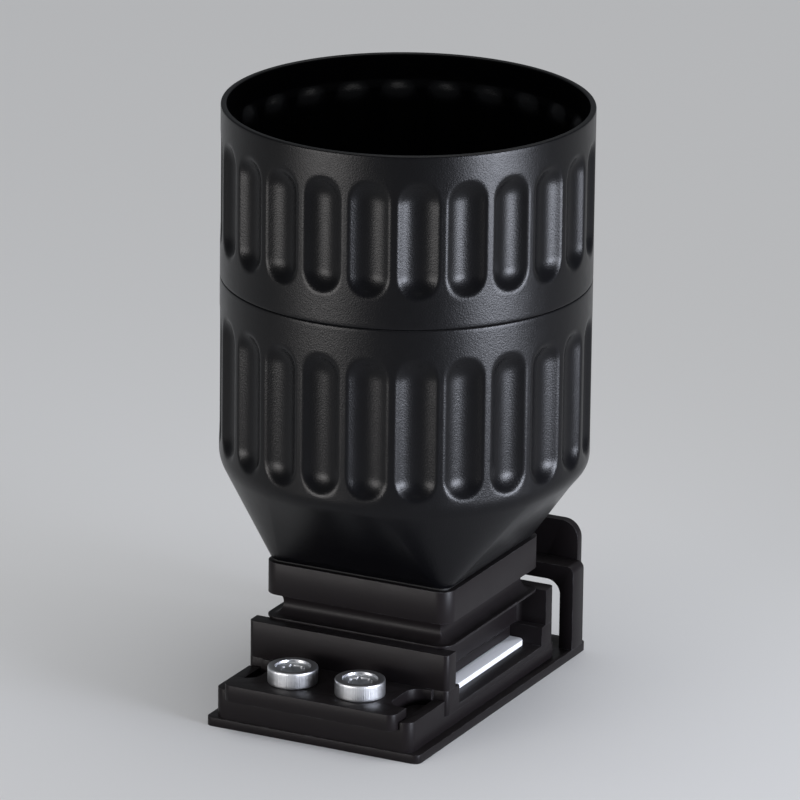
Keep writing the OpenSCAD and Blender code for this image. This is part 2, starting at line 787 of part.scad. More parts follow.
module retainer_clip(side) {
    color(bright_steel) translate([side * knob_pitch / 2, knob_y, recess_z]) difference() {
        cylinder(h = clip_t, r = clip_r);
        translate([0, 0, -over]) cylinder(h = clip_t + 2 * over, r = shank_r + shank_clear);
    }
}

module retainer_clip_left() { retainer_clip(-1); }

module retainer_clip_right() { retainer_clip(1); }

// The four fixing holes, open at the bottom of the flange
module fixing_holes() {
    for (side_x = [-1, 1], side_y = [-1, 1])
        translate([side_x * fixing_x, side_y * fixing_y, -over])
            cylinder(h = over + block_z + fixing_h, r = fixing_r);
}

module base_screw_places() {
    for (side = [-1, 1], y = [knob_y, gate_y / 2]) translate([side * base_screw_x, y, 0]) children();
}

module base_block() {
    seat_y = base_front + seat_back_y;
    seat_x = tongue_w + 2 * cheek_gap;
    color(holder_black) difference() {
        union() {
            translate([0, base_mid_y, block_z]) rounded_plate(base_x, base_y, base_corner_r, base_h);
            intersection() {
                translate([0, base_mid_y, block_z])
                    rounded_plate(base_x, base_y, base_corner_r, seat_h + cheek_h);
                translate([-base_x / 2, -base_front, block_z]) cube([base_x, seat_y, seat_h + cheek_h]);
            }
        }
        translate([-seat_x / 2, -base_front - over, seat_z])
            cube([seat_x, seat_y + 2 * over, cheek_h + over]);
        translate([0, 0, block_z - over])
            rounded_plate(window_x, window_y, cutout_corner_r, base_h + 2 * over);
        for (side = [-1, 1]) {
            translate([side * knob_pitch / 2, knob_y, recess_z])
                cylinder(h = seat_z - recess_z + over, r = clip_r + clip_clear);
            translate([side * knob_pitch / 2, knob_y, block_z - over])
                cylinder(h = seat_z - block_z + over, r = shank_r + shank_clear);
            translate([side * dowel_x, wall_screw_y, block_z - over])
                cylinder(h = over + base_h + over, r = dowel_r + screw_clear);
        }
        fixing_holes();
        base_screw_places() flat_screw_hole(screw_r, screw_head_r, screw_head_h, block_z + base_screw_grip);
    }
}

module base_flange() {
    flange_y = flange_front + flange_rear;
    color(holder_black) difference() {
        translate([0, (flange_rear - flange_front) / 2, 0])
            rounded_plate(flange_x, flange_y, flange_corner_r, flange_t);
        translate([0, 0, -over]) rounded_plate(window_x, window_y, cutout_corner_r, flange_t + 2 * over);
        fixing_holes();
        base_screw_places() flat_screw_hole(screw_r, screw_head_r, screw_head_h, flange_t + over);
        bracket_screw_places() flat_screw_hole(leg_screw_r, leg_screw_head_r, screw_head_h, flange_t + over);
    }
}

module base_screws() {
    color(holder_black) base_screw_places()
        flat_screw(screw_r, screw_head_r, screw_head_h, block_z + base_screw_grip);
}

module locating_dowels() {
    color(bright_steel) for (side = [-1, 1]) translate([side * dowel_x, wall_screw_y, block_z])
        cylinder(h = base_h + dowel_h, r = dowel_r);
}

module bracket_screw_places() {
    for (side = [-1, 1]) translate([side * leg_screw_x, leg_screw_y, 0]) children();
}

// An upright plate in the plane of the light path's width, drawn from the ground up
module upright(y) {
    translate([0, y, 0]) rotate([90, 0, 0]) children();
}

module rear_bracket() {
    arch_x = flange_x - 2 * leg_w;
    color(holder_black) difference() {
        upright(bracket_back_y) linear_extrude(bracket_y) difference() {
            union() {
                translate([-flange_x / 2, flange_t])
                    square([flange_x, bar_z - flange_t - bar_corner_r]);
                translate([bar_corner_r - flange_x / 2, flange_t])
                    square([flange_x - 2 * bar_corner_r, bar_z - flange_t]);
                for (side = [-1, 1])
                    translate([side * (flange_x / 2 - bar_corner_r), bar_z - bar_corner_r])
                        circle(bar_corner_r);
            }
            translate([-arch_x / 2, flange_t - over]) square([arch_x, arch_h - arch_corner_r + over]);
            translate([arch_corner_r - arch_x / 2, flange_t - over])
                square([arch_x - 2 * arch_corner_r, arch_h + over]);
            for (side = [-1, 1])
                translate([side * (arch_x / 2 - arch_corner_r), arch_z - arch_corner_r])
                    circle(arch_corner_r);
        }
        bracket_screw_places()
            flat_screw_hole(leg_screw_r, leg_screw_head_r, screw_head_h, flange_t + leg_screw_grip);
        baffle_screw_places()
            flat_screw_hole(screw_r, screw_head_r, screw_head_h, baffle_t + bracket_y - over);
    }
}

module bracket_screws() {
    color(holder_black) bracket_screw_places()
        flat_screw(leg_screw_r, leg_screw_head_r, screw_head_h, flange_t + leg_screw_grip, false);
}

// The baffle's screws point forwards from its back
module baffle_screw_places() {
    for (side = [-1, 1])
        translate([side * baffle_screw_pitch / 2, flange_rear, baffle_screw_z])
            rotate([90, 0, 0]) children();
}

module rear_baffle() {
    top_z = bar_z + baffle_rise;
    color(holder_black) difference() {
        upright(flange_rear) linear_extrude(baffle_t) {
            translate([-baffle_x / 2, arch_z]) square([baffle_x, top_z - arch_z - shoulder_corner_r]);
            translate([shoulder_corner_r - baffle_x / 2, arch_z])
                square([baffle_x - 2 * shoulder_corner_r, top_z - arch_z]);
            for (side = [-1, 1])
                translate([side * (baffle_x / 2 - shoulder_corner_r), top_z - shoulder_corner_r])
                    circle(shoulder_corner_r);
        }
        baffle_screw_places() flat_screw_hole(screw_r, screw_head_r, screw_head_h, baffle_t + over);
    }
}

module baffle_screws() {
    color(holder_black) baffle_screw_places()
        flat_screw(screw_r, screw_head_r, screw_head_h, baffle_t + bracket_y - over);
}

upper_hood();
lower_hood();
hood_joint_ring();
foot_gasket();
collar();
collar_screws();
gate_block();
pressure_plate();
pressure_springs();
plate_screws();
gate_screws();
carrier();
slide_mount_top();
slide_mount_base();
film_chip();
thumb_screw_left();
thumb_screw_right();
retainer_clip_left();
retainer_clip_right();
base_block();
base_flange();
base_screws();
locating_dowels();
rear_bracket();
rear_baffle();
baffle_screws();
bracket_screws();
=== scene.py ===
"""Looks of a film scanning hood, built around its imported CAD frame.

The object is a fluted light hood on a slide holder. Everything is in metres, in the frame of the CAD
model: the origin is under the flange on the light path's axis, +Z is up and the front is at -Y.
"""

import logging
import math
from dataclasses import dataclass
from enum import Enum
from functools import cached_property, lru_cache
from typing import Callable, Sequence

import bmesh
import bpy
from mathutils import Matrix, Vector


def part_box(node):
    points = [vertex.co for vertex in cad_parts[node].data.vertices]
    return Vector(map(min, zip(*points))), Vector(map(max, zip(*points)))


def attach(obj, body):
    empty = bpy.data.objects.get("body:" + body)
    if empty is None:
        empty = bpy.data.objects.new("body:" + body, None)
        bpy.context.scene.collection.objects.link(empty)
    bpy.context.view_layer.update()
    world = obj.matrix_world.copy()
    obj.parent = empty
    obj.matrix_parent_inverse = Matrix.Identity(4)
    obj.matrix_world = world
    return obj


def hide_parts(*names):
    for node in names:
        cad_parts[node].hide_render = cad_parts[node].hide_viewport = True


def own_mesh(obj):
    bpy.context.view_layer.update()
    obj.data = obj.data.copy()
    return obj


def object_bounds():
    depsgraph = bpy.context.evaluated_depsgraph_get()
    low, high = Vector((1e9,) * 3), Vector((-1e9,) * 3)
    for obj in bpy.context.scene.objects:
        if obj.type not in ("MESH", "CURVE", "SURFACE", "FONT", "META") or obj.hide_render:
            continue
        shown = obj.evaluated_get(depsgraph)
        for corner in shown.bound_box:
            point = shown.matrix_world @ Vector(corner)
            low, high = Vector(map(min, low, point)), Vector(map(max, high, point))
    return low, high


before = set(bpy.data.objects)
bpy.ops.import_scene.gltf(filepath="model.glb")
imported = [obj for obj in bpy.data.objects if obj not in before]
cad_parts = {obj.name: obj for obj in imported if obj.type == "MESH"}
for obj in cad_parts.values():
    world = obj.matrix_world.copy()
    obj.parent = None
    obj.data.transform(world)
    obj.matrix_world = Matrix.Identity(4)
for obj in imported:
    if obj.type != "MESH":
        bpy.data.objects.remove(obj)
CAD_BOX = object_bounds()

LOG = logging.getLogger("film_scanning_hood")
MM = 0.001

ARC_PIECES = 4  # pieces of each softened corner
EDGE_FACES = 2  # faces across a broken edge
CREASE_ANGLE = math.radians(35.0)  # edges bent more than this stay sharp in the shading
SHARP_ANGLE = math.radians(28.0)  # edges bent more than this are broken
FLAT_ANGLE = math.radians(0.4)  # faces bent less than this are one face
CAD_MERGE = 0.001 * MM
TURNED_MERGE = 0.0005 * MM
BEAM = math.radians(52.0)  # spread of the two low lamps, which keeps them off the floor

Colour = tuple[float, float, float]
Inputs = dict[str | int, object]
Outline = Sequence[tuple[float, float]]
Ring = list[bmesh.types.BMVert]


class Slot(Enum):
    """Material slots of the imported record."""

    HOOD = "hood_plastic"
    HOLDER = "holder_black"
    SCREW = "screw_black"
    KNOB = "knob_metal"
    STEEL = "steel"
    RUBBER = "rubber"
    MOUNT = "mount_white"
    FILM = "film"


class Body(Enum):
    """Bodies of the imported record."""

    BASE = "base"
    HOLDER = "holder"
    PLATE = "plate"
    HOOD_LOWER = "hood_lower"
    HOOD_UPPER = "hood_upper"
    SLIDE = "slide"
    CLIP_LEFT = "clip_left"
    CLIP_RIGHT = "clip_right"
    KNOB_LEFT = "knob_left"
    KNOB_RIGHT = "knob_right"


class NodeTree:
    """A thin helper that adds and joins nodes of one shader tree."""

    def __init__(self, tree: bpy.types.NodeTree) -> None:
        """Keeps the tree.

        Args:
            tree: The node tree of a material, a world or a group.
        """
        self.tree = tree

    def add(self, kind: str, inputs: Inputs | None = None, **settings: object) -> bpy.types.Node:
        """Adds a node, sets its properties and fills its inputs.

        Args:
            kind: Blender's type name of the node.
            inputs: Values, or output sockets to join, by the input's name or number.
            **settings: Properties of the node itself.

        Returns:
            The new node.
        """
        node = self.tree.nodes.new(kind)
        for name, value in settings.items():
            setattr(node, name, value)
        self.fill(node, inputs or {})
        return node

    def fill(self, node: bpy.types.Node, inputs: Inputs) -> None:
        """Fills the inputs of a node.

        Args:
            node: The node.
            inputs: Values, or output sockets to join, by the input's name or number.
        """
        for key, value in inputs.items():
            if isinstance(value, bpy.types.NodeSocket):
                self.tree.links.new(value, node.inputs[key])
            else:
                node.inputs[key].default_value = value

    def group(self, tree: bpy.types.NodeTree, inputs: Inputs) -> bpy.types.Node:
        """Places a shared group.

        Args:
            tree: The shared group.
            inputs: Values or sockets of the group's inputs.

        Returns:
            The group's node.
        """
        node = self.add("ShaderNodeGroup")
        node.node_tree = tree
        self.fill(node, inputs)
        return node

    def noise(
        self, place: object, scale: object, detail: float, roughness: float = 0.5
    ) -> bpy.types.NodeSocket:
        """Adds a noise.

        Args:
            place: The place on the surface.
            scale: How often the noise repeats in a metre.
            detail: How many finer noises lie on the coarse one.
            roughness: How strong the finer noises are.

        Returns:
            The noise's value.
        """
        node = self.add(
            "ShaderNodeTexNoise", {"Vector": place, "Scale": scale, "Detail": detail, "Roughness": roughness}
        )
        return node.outputs[0]

    def math(
        self, operation: str, first: object, second: object = 0.0, clamp: bool = False
    ) -> bpy.types.NodeSocket:
        """Adds a math node.

        Args:
            operation: The operation's name.
            first: The first number or socket.
            second: The second number or socket.
            clamp: Whether the result is kept between 0 and 1.

        Returns:
            The node's output.
        """
        node = self.add("ShaderNodeMath", {0: first, 1: second}, operation=operation, use_clamp=clamp)
        return node.outputs[0]

    def blend(self, share: object, first: object, second: object) -> bpy.types.NodeSocket:
        """Mixes two colours.

        Args:
            share: How much of the second colour shows.
            first: The first colour or socket.
            second: The second colour or socket.

        Returns:
            The mixed colour's socket.
        """
        node = self.add("ShaderNodeMix", {0: share, 6: first, 7: second}, data_type="RGBA")
        return node.outputs[2]


class SurfaceGroups:
    """Shader groups that several finishes share, each built once."""

    CELL_SHARE = 0.6
    EDGE_GAIN = 9.0
    DUST_FALL = 3.0

    @staticmethod
    def _new(
        name: str, inputs: dict[str, float | str], outputs: Sequence[str]
    ) -> tuple[NodeTree, bpy.types.Node, bpy.types.Node]:
        """Starts a group with named sockets.

        Args:
            name: The group's name.
            inputs: Default values of the inputs, or "vector" for a vector input.
            outputs: Names of the outputs.

        Returns:
            The helper on the group's tree, its input node and its output node.
        """
        tree = bpy.data.node_groups.new(name, "ShaderNodeTree")
        for label, value in inputs.items():
            kind = "NodeSocketVector" if value == "vector" else "NodeSocketFloat"
            socket = tree.interface.new_socket(name=label, in_out="INPUT", socket_type=kind)
            if kind == "NodeSocketFloat":
                socket.default_value = value
        for label in outputs:
            tree.interface.new_socket(name=label, in_out="OUTPUT", socket_type="NodeSocketFloat")
        nodes = NodeTree(tree)
        return nodes, nodes.add("NodeGroupInput"), nodes.add("NodeGroupOutput")

    @staticmethod
    def _patches(
        nodes: NodeTree, given: bpy.types.Node, detail: float, roughness: float, level: float, gain: float
    ) -> bpy.types.NodeSocket:
        """Makes uneven patches of the group's Patch Size.

        Args:
            nodes: The group's tree.
            given: The group's input node.
            detail: How many finer noises lie on the coarse one.
            roughness: How strong the finer noises are.
            level: The noise's value at which a patch begins.
            gain: How steeply it rises there.

        Returns:
            A mask that is 1 inside the patches.
        """
        scale = nodes.math("DIVIDE", 1.0, given.outputs["Patch Size"])
        noise = nodes.noise(given.outputs["Vector"], scale, detail, roughness)
        return nodes.math("MULTIPLY", nodes.math("SUBTRACT", noise, level), gain, clamp=True)

    @cached_property
    def grain(self) -> bpy.types.NodeTree:
        """Builds the fine grain of moulded plastic and blasted metal.

        Returns:
            A group that puts out Height for a bump and Roughness.
        """
        nodes, given, out = self._new(
            "surface_grain",
            {
                "Vector": "vector", "Size": 0.4 * MM, "Wave Size": 6 * MM, "Wave": 0.3, "Roughness": 0.5,
                "Spread": 0.1,
            },
            ["Height", "Roughness"],
        )
        place = given.outputs["Vector"]
        fine_scale = nodes.math("DIVIDE", 1.0, given.outputs["Size"])
        wave_scale = nodes.math("DIVIDE", 1.0, given.outputs["Wave Size"])
        fine = nodes.noise(place, fine_scale, 2.0, 0.6)
        cells = nodes.add(
            "ShaderNodeTexVoronoi", {"Vector": place, "Scale": fine_scale, "Smoothness": 0.7},
            feature="SMOOTH_F1",
        )
        wave = nodes.noise(place, wave_scale, 1.0)
        pebbles = nodes.math("ADD", fine, nodes.math("MULTIPLY", cells.outputs[0], self.CELL_SHARE))
        rolling = nodes.math("MULTIPLY", wave, given.outputs["Wave"])
        offset = nodes.math("SUBTRACT", nodes.math("ADD", wave, fine), 1.0)
        spread = nodes.math("MULTIPLY", offset, given.outputs["Spread"])
        nodes.fill(out, {
            "Height": nodes.math("ADD", pebbles, rolling),
            "Roughness": nodes.math("ADD", given.outputs["Roughness"], spread, clamp=True),
        })
        return nodes.tree

    @cached_property
    def wear(self) -> bpy.types.NodeTree:
        """Builds the rubbed look of edges.

        Returns:
            A group that puts out Mask, which is 1 where an edge is worn bare.
        """
        nodes, given, out = self._new(
            "edge_wear", {"Vector": "vector", "Radius": 0.4 * MM, "Patch Size": 3 * MM, "Amount": 0.5},
            ["Mask"],
        )
        rounded = nodes.add("ShaderNodeBevel", {"Radius": given.outputs["Radius"]}, samples=4)
        flat = nodes.add("ShaderNodeNewGeometry")
        facing = nodes.add(
            "ShaderNodeVectorMath", {0: rounded.outputs[0], 1: flat.outputs["Normal"]},
            operation="DOT_PRODUCT",
        )
        turn = nodes.math("SUBTRACT", 1.0, facing.outputs["Value"])
        bend = nodes.math("MULTIPLY", turn, self.EDGE_GAIN, clamp=True)
        rubbed = self._patches(nodes, given, detail=4.0, roughness=0.65, level=0.42, gain=4.0)
        bare = nodes.math("MULTIPLY", bend, rubbed)
        nodes.fill(out, {"Mask": nodes.math("MULTIPLY", bare, given.outputs["Amount"], clamp=True)})
        return nodes.tree

    @cached_property
    def dust(self) -> bpy.types.NodeTree:
        """Builds the thin dust that settles on what faces up.

        Returns:
            A group that puts out Mask, which is 1 under full dust.
        """
        nodes, given, out = self._new(
            "settled_dust", {"Vector": "vector", "Amount": 0.1, "Patch Size": 5 * MM}, ["Mask"]
        )
        facing = nodes.add("ShaderNodeSeparateXYZ", {0: nodes.add("ShaderNodeNewGeometry").outputs["Normal"]})
        upward = nodes.math("POWER", nodes.math("MAXIMUM", facing.outputs["Z"], 0.0), self.DUST_FALL)
        lying = self._patches(nodes, given, detail=5.0, roughness=0.7, level=0.3, gain=2.0)
        dusty = nodes.math("MULTIPLY", upward, lying)
        nodes.fill(out, {"Mask": nodes.math("MULTIPLY", dusty, given.outputs["Amount"])})
        return nodes.tree

    @cached_property
    def turning(self) -> bpy.types.NodeTree:
        """Builds the fine rings that a lathe leaves around an upright axis.

        Returns:
            A group that puts out Mask, the high and low of the rings.
        """
        nodes, given, out = self._new("turning_marks", {"Vector": "vector", "Pitch": 0.12 * MM}, ["Mask"])
        apart = nodes.add("ShaderNodeSeparateXYZ", {0: given.outputs["Vector"]})
        across = nodes.math("ADD", *(nodes.math("POWER", apart.outputs[axis], 2.0) for axis in "XY"))
        radius = nodes.math("DIVIDE", nodes.math("SQRT", across), given.outputs["Pitch"])
        rings = nodes.add("ShaderNodeCombineXYZ", {0: radius})
        nodes.fill(out, {"Mask": nodes.noise(rings.outputs[0], 1.0, 3.0, 0.6)})
        return nodes.tree


GROUPS = SurfaceGroups()


@dataclass(frozen=True)
class Finish:
    """The finish of one kind of surface, made of grain, mottle, edge wear and dust."""

    name: str
    slot: Slot
    colour: Colour
    roughness: float
    spread: float = 0.08
    metallic: float = 0.0
    specular: float = 0.5
    coat: float = 0.0
    mottle: float = 0.15
    mottle_size: float = 9 * MM
    grain_size: float = 0.4 * MM
    grain_depth: float = 0.02 * MM
    wave: float = 0.3
    wave_size: float = 6 * MM
    worn_colour: Colour = (0.3, 0.3, 0.31)
    wear: float = 0.0
    wear_radius: float = 0.35 * MM
    dust_colour: Colour = (0.35, 0.34, 0.33)
    dust: float = 0.0
    turned_about: tuple[float, float] | None = None
    turning_depth: float = 0.004 * MM

    def material(self) -> bpy.types.Material:
        """Builds the material, or returns it where it is built already.

        Returns:
            The finish's material.
        """
        made = bpy.data.materials.get(self.name)
        if made is not None:
            return made
        made = bpy.data.materials.new(self.name)
        made.use_nodes = True
        made.node_tree.nodes.clear()
        nodes = NodeTree(made.node_tree)
        place = nodes.add("ShaderNodeTexCoord").outputs["Object"]
        grain = nodes.group(GROUPS.grain, {
            "Vector": place, "Size": self.grain_size, "Wave Size": self.wave_size, "Wave": self.wave,
            "Roughness": self.roughness, "Spread": self.spread,
        })
        colour = self._mottled(nodes, place)
        roughness = grain.outputs["Roughness"]
        if self.wear:
            worn = nodes.group(
                GROUPS.wear, {"Vector": place, "Radius": self.wear_radius, "Amount": self.wear}
            )
            colour = nodes.blend(worn.outputs["Mask"], colour, (*self.worn_colour, 1.0))
        if self.dust:
            lying = nodes.group(GROUPS.dust, {"Vector": place, "Amount": self.dust})
            colour = nodes.blend(lying.outputs["Mask"], colour, (*self.dust_colour, 1.0))
            roughness = nodes.math("ADD", roughness, lying.outputs["Mask"], clamp=True)
        bump = nodes.add("ShaderNodeBump", {
            "Height": grain.outputs["Height"], "Distance": self.grain_depth, "Strength": 1.0,
        })
        if self.turned_about is not None:
            x, y = self.turned_about
            centre = nodes.add("ShaderNodeMapping", {"Vector": place, "Location": (-x, -y, 0.0)})
            marks = nodes.group(GROUPS.turning, {"Vector": centre.outputs[0]})
            bump = nodes.add("ShaderNodeBump", {
                "Height": marks.outputs["Mask"], "Distance": self.turning_depth, "Strength": 1.0,
                "Normal": bump.outputs[0],
            })
            offset = nodes.math("MULTIPLY", nodes.math("SUBTRACT", marks.outputs["Mask"], 0.5), self.spread)
            roughness = nodes.math("ADD", roughness, offset, clamp=True)
        shader = nodes.add("ShaderNodeBsdfPrincipled", {
            "Base Color": colour, "Roughness": roughness, "Metallic": self.metallic,
            "Specular IOR Level": self.specular, "Coat Weight": self.coat, "Coat Roughness": 0.15,
            "Normal": bump.outputs[0],
        })
        nodes.add("ShaderNodeOutputMaterial", {"Surface": shader.outputs[0]})
        made.diffuse_color = (*self.colour, 1.0)
        return made

    def _mottled(self, nodes: NodeTree, place: bpy.types.NodeSocket) -> bpy.types.NodeSocket:
        """Varies the colour a little over the surface.

        Args:
            nodes: The material's tree.
            place: The place on the surface.

        Returns:
            The colour's socket.
        """
        patches = nodes.noise(place, 1.0 / self.mottle_size, 4.0, 0.6)
        light = (*(min(1.0, c * (1 + self.mottle)) for c in self.colour), 1.0)
        dark = (*(c * (1 - self.mottle) for c in self.colour), 1.0)
        return nodes.blend(patches, dark, light)


MOULDED = Finish(
    "moulded_black", Slot.HOOD, (0.0016, 0.0016, 0.0022), 0.31, spread=0.07, specular=0.195, mottle=0.12,
    grain_size=0.42 * MM, grain_depth=0.030 * MM, wave=0.6, wave_size=3.5 * MM,
    worn_colour=(0.05, 0.05, 0.055), wear=0.25, dust=0.015,
)
ANODISED = Finish(
    "anodised_black", Slot.HOLDER, (0.0086, 0.0070, 0.0076), 0.40, spread=0.08, specular=0.12, mottle=0.12,
    grain_size=0.22 * MM, grain_depth=0.010 * MM, wave=0.2, worn_colour=(0.16, 0.16, 0.17), wear=0.5,
    wear_radius=0.25 * MM, dust=0.02,
)
BLACK_OXIDE = Finish(
    "black_oxide", Slot.SCREW, (0.03, 0.03, 0.033), 0.36, metallic=0.6, grain_size=0.15 * MM,
    grain_depth=0.004 * MM, worn_colour=(0.3, 0.3, 0.31), wear=0.6, wear_radius=0.12 * MM, dust=0.02,
)
BRIGHT_STEEL = Finish(
    "bright_steel", Slot.STEEL, (0.56, 0.57, 0.59), 0.26, spread=0.12, metallic=1.0, mottle=0.06,
    grain_size=0.2 * MM, grain_depth=0.003 * MM,
)
SPRING_STEEL = Finish(
    "spring_steel", Slot.STEEL, (0.42, 0.42, 0.44), 0.3, spread=0.1, metallic=1.0, mottle=0.1,
    grain_size=0.12 * MM, grain_depth=0.002 * MM,
)
BLACK_RUBBER = Finish(
    "black_rubber", Slot.RUBBER, (0.012, 0.012, 0.012), 0.7, spread=0.1, specular=0.35,
    grain_size=0.2 * MM, grain_depth=0.012 * MM, dust=0.08,
)
MOUNT_WHITE = Finish(
    "mount_white", Slot.MOUNT, (0.39, 0.398, 0.412), 0.5, spread=0.06, mottle=0.02, grain_size=0.3 * MM,
    grain_depth=0.008 * MM, worn_colour=(0.66, 0.66, 0.68), wear=0.15,
)
FILM_BASE = Finish(
    "film_base", Slot.FILM, (0.022, 0.020, 0.026), 0.12, spread=0.03, coat=0.4, mottle=0.5,
    mottle_size=7 * MM, grain_size=0.1 * MM, grain_depth=0.0006 * MM, wave=1.5, wave_size=14 * MM,
)


def knob_finish(side: int, centre: Vector) -> Finish:
    """Describes the turned metal of one thumb screw.

    Args:
        side: -1 for the left screw, 1 for the right one.
        centre: A point on the screw's axis.

    Returns:
        The finish, with its lathe marks about that axis.
    """
    label = "left" if side < 0 else "right"
    return Finish(
        f"turned_metal_{label}", Slot.KNOB, (0.66, 0.67, 0.69), 0.36, spread=0.10, metallic=1.0, mottle=0.04,
        grain_size=0.18 * MM, grain_depth=0.002 * MM, turned_about=(centre.x, centre.y),
        turning_depth=0.006 * MM,
    )


@dataclass(frozen=True)
class Corner:
    """One corner of an outline that is turned or lofted: a radius or inset, a level and a rounding."""

    r: float
    z: float
    soft: float = 0.0


def softened_outline(corners: Sequence[Corner]) -> list[tuple[float, float]]:
    """Rounds the corners of an open outline with arcs.

    Args:
        corners: The outline's corners in order.

    Returns:
        The outline's points.
    """
    points: list[tuple[float, float]] = []
    for i, corner in enumerate(corners):
        here = Vector((corner.r, corner.z))
        if corner.soft == 0 or i in (0, len(corners) - 1):
            points.append((here.x, here.y))
            continue
        back = (Vector((corners[i - 1].r, corners[i - 1].z)) - here).normalized()
        ahead = (Vector((corners[i + 1].r, corners[i + 1].z)) - here).normalized()
        start, end = here + back * corner.soft, here + ahead * corner.soft
        for step in range(ARC_PIECES + 1):
            t = step / ARC_PIECES
            point = start * (1 - t) ** 2 + here * (2 * t * (1 - t)) + end * t ** 2
            points.append((point.x, point.y))
    return points


def finely_cut(points: Outline, longest: float) -> list[tuple[float, float]]:
    """Adds points to an outline's long stretches.

    Args:
        points: The outline's points.
        longest: The longest stretch that is left.

    Returns:
        The outline with the added points.
    """
    cut = [points[0]]
    for start, end in zip(points, points[1:]):
        count = max(1, math.ceil(math.dist(start, end) / longest))
        cut += [
            (start[0] + (end[0] - start[0]) * i / count, start[1] + (end[1] - start[1]) * i / count)
            for i in range(1, count + 1)
        ]
    return cut


def turned(bm: bmesh.types.BMesh, outline: Outline, steps: int) -> None:
    """Spins an outline a full turn about the Z axis.

    Args:
        bm: The mesh that takes the shape.
        outline: Radii and levels.
        steps: Number of steps around.
    """
    verts = [bm.verts.new((r, 0.0, z)) for r, z in outline]
    edges = [bm.edges.new(pair) for pair in zip(verts, verts[1:])]
    bmesh.ops.spin(
        bm, geom=[*verts, *edges], cent=(0, 0, 0), axis=(0, 0, 1), angle=math.tau, steps=steps,
        use_merge=True, use_duplicate=False,
    )
    bmesh.ops.remove_doubles(bm, verts=bm.verts, dist=TURNED_MERGE)


def facing_out(bm: bmesh.types.BMesh) -> None:
    """Turns all faces of a closed shape outwards.

    Args:
        bm: The closed shape.
    """
    bmesh.ops.recalc_face_normals(bm, faces=bm.faces)


def publish(
    bm: bmesh.types.BMesh,
    name: str,
    body: Body,
    finish: Finish,
    nodes: Sequence[str],
) -> bpy.types.Object:
    """Makes a piece of a mesh, with its finish and its body.

    Args:
        bm: The finished mesh, which is freed.
        name: The piece's name.
        body: The body that it moves with.
        finish: Its surface finish.
        nodes: CAD nodes that it stands for.

    Returns:
        The piece.
    """
    for face in bm.faces:
        face.smooth = True
    for edge in bm.edges:
        edge.smooth = len(edge.link_faces) == 2 and edge.calc_face_angle(0.0) < CREASE_ANGLE
    mesh = bpy.data.meshes.new(name)
    bm.to_mesh(mesh)
    bm.free()
    mesh.materials.append(finish.material())
    piece = bpy.data.objects.new(name, mesh)
    bpy.context.scene.collection.objects.link(piece)
    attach(piece, body.value)
    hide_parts(*nodes)
    LOG.info("%s: %d faces on body %s", name, len(mesh.polygons), body.value)
    return piece


def machined_copy(node: str, width: float) -> bmesh.types.BMesh:
    """Copies a CAD node, merges it and breaks its sharp edges.

    Args:
        node: The CAD node's name.
        width: Width of the broken edges.

    Returns:
        The mesh.
    """
    bm = bmesh.new()
    bm.from_mesh(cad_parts[node].data)
    bmesh.ops.remove_doubles(bm, verts=bm.verts, dist=CAD_MERGE)
    bmesh.ops.dissolve_limit(bm, angle_limit=FLAT_ANGLE, verts=bm.verts, edges=bm.edges)
    sharp = [e for e in bm.edges if len(e.link_faces) == 2 and e.calc_face_angle(0.0) > SHARP_ANGLE]
    bmesh.ops.bevel(
        bm, geom=sharp, offset=width, offset_type="OFFSET", segments=EDGE_FACES, profile=0.5, affect="EDGES",
        material=-1, clamp_overlap=True, loop_slide=True,
    )
    return bm


def dress_node(node: str, finish: Finish) -> None:
    """Gives a CAD node that is shown as it is its finish.

    Args:
        node: The CAD node's name.
        finish: Its surface finish.
    """
    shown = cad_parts[node]
    shown.data.materials.clear()
    shown.data.materials.append(finish.material())
    LOG.info("%s: CAD node dressed with %s", node, finish.name)


